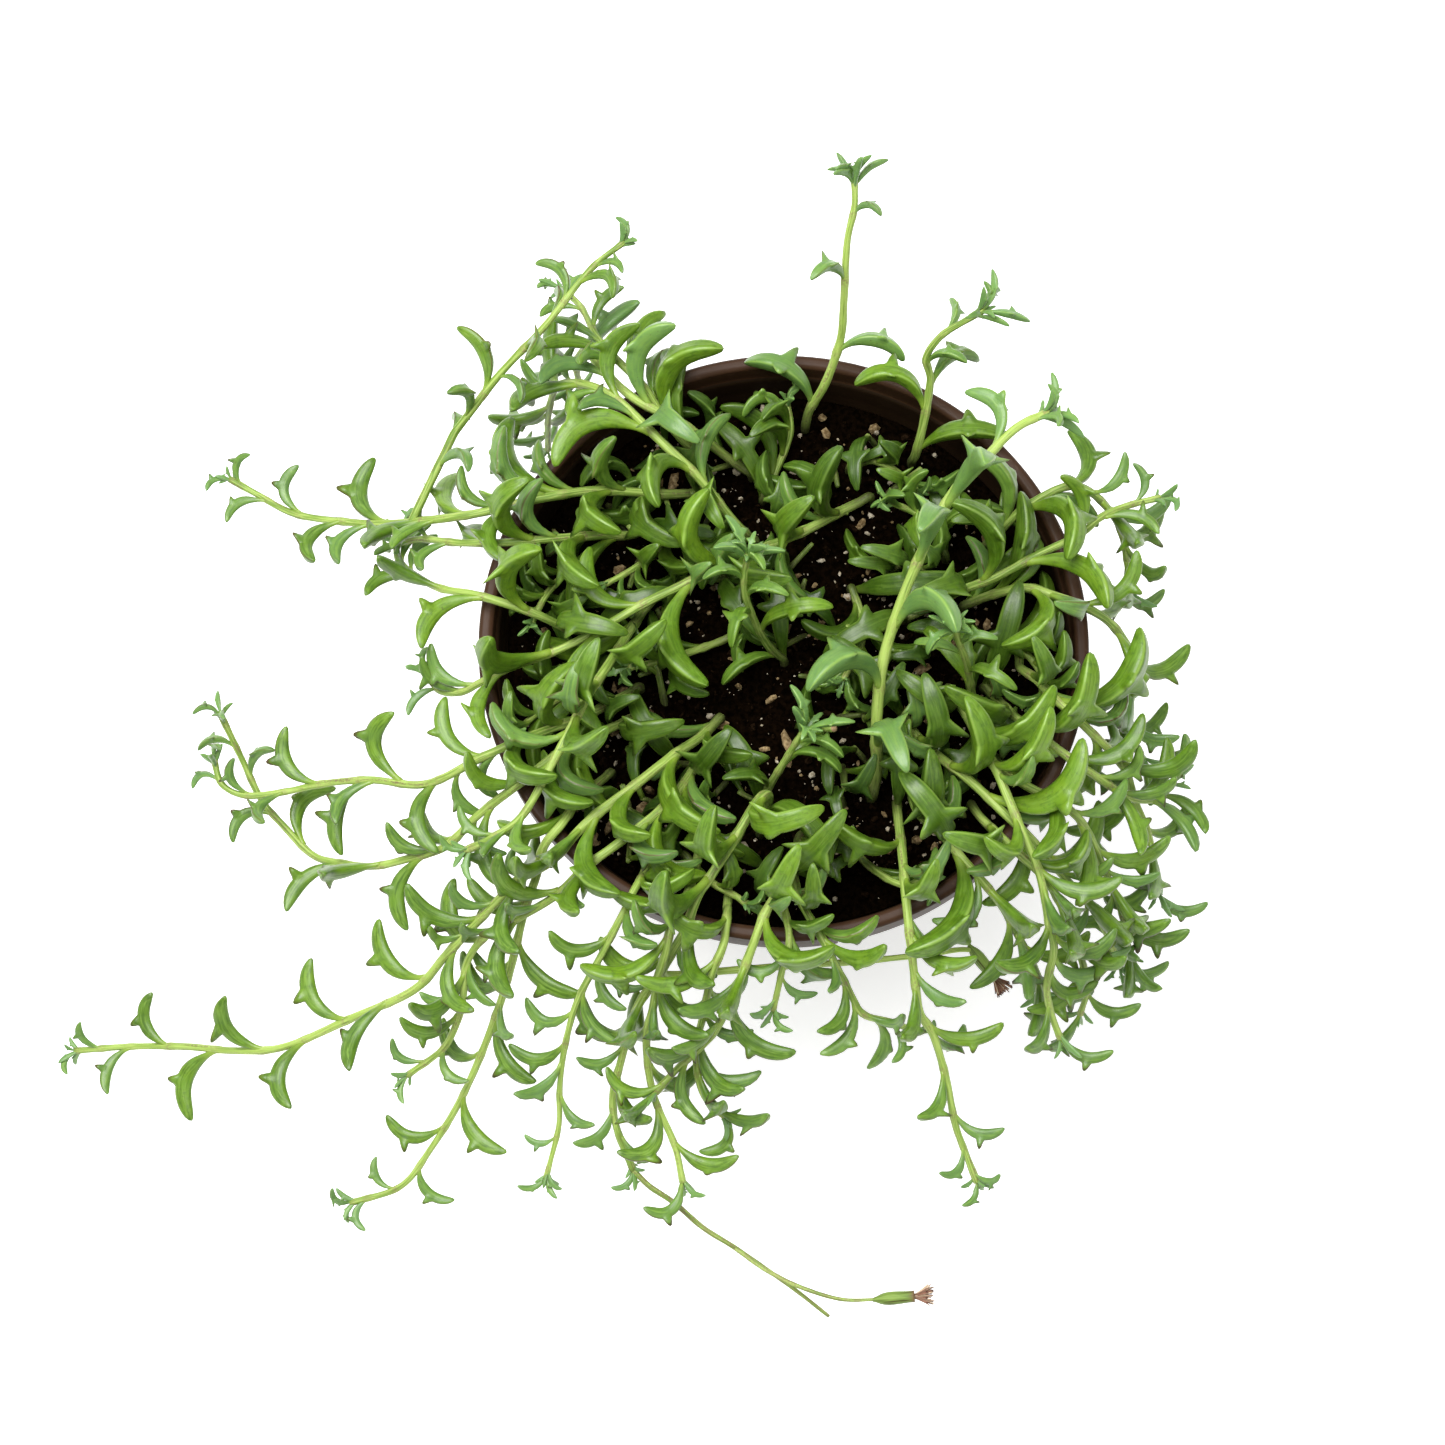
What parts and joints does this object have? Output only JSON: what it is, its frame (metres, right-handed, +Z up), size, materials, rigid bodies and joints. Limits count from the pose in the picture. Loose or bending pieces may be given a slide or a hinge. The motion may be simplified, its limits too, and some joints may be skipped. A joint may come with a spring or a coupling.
{
  "type": "potted string of dolphins plant",
  "caption": "Round brown plastic pot filled with soil and planted with a trailing succulent, whose long stems carry curved, finned, dolphin-shaped leaves and spill over the rim.",
  "frame": {"origin": "centre of the pot's flat base, on the surface that the pot stands on", "axes": "+Z up along the pot's upright axis, -Y towards the side that faces the picture's lower edge, +X to the picture's right"},
  "size_m": [0.3024, 0.2701, 0.1745],
  "materials": {
    "pot_plastic": "dark brown, satin to semi-gloss, lightly scuffed",
    "potting_soil": "damp dark peat with bark and perlite crumbs",
    "leaf_green": "waxy mid-green leaves and pale green stems",
    "dry_flower": "dry brown bristles"
  },
  "bodies": {
    "root": {"pot": "pot_plastic", "soil": "potting_soil", "leafy_stem_01": "leaf_green", "leafy_stem_02": "leaf_green", "leafy_stem_03": "leaf_green", "leafy_stem_04": "leaf_green", "leafy_stem_05": "leaf_green", "leafy_stem_06": "leaf_green", "leafy_stem_07": "leaf_green", "leafy_stem_08": "leaf_green", "leafy_stem_09": "leaf_green", "leafy_stem_10": "leaf_green", "leafy_stem_11": "leaf_green", "leafy_stem_12": "leaf_green", "leafy_stem_13": "leaf_green", "leafy_stem_14": "leaf_green", "leafy_stem_15": "leaf_green", "leafy_stem_16": "leaf_green", "leafy_stem_17": "leaf_green", "leafy_stem_18": "leaf_green", "leafy_stem_19": "leaf_green", "leafy_stem_20": "leaf_green", "leafy_stem_21": "leaf_green", "leafy_stem_22": "leaf_green", "leafy_stem_23": "leaf_green", "leafy_stem_24": "leaf_green", "leafy_stem_25": "leaf_green", "leafy_stem_26": "leaf_green", "leafy_stem_27": "leaf_green", "leafy_stem_28": "leaf_green", "leafy_stem_29": "leaf_green", "leafy_stem_30": "leaf_green", "leafy_stem_31": "leaf_green", "leafy_stem_32": "leaf_green", "leafy_stem_33": "leaf_green", "leafy_stem_34": "leaf_green", "leafy_stem_35": "leaf_green", "leafy_stem_36": "leaf_green", "leafy_stem_37": "leaf_green", "leafy_stem_38": "leaf_green", "leafy_stem_39": "leaf_green", "leafy_stem_40": "leaf_green", "leafy_stem_41": "leaf_green", "leafy_stem_42": "leaf_green", "leafy_stem_43": "leaf_green", "leafy_stem_44": "leaf_green", "leafy_stem_45": "leaf_green", "leafy_stem_46": "leaf_green", "leafy_stem_47": "leaf_green", "leafy_stem_48": "leaf_green", "dry_flower_tuft_1": "dry_flower", "dry_flower_tuft_2": "dry_flower"}
  },
  "joints": []
}
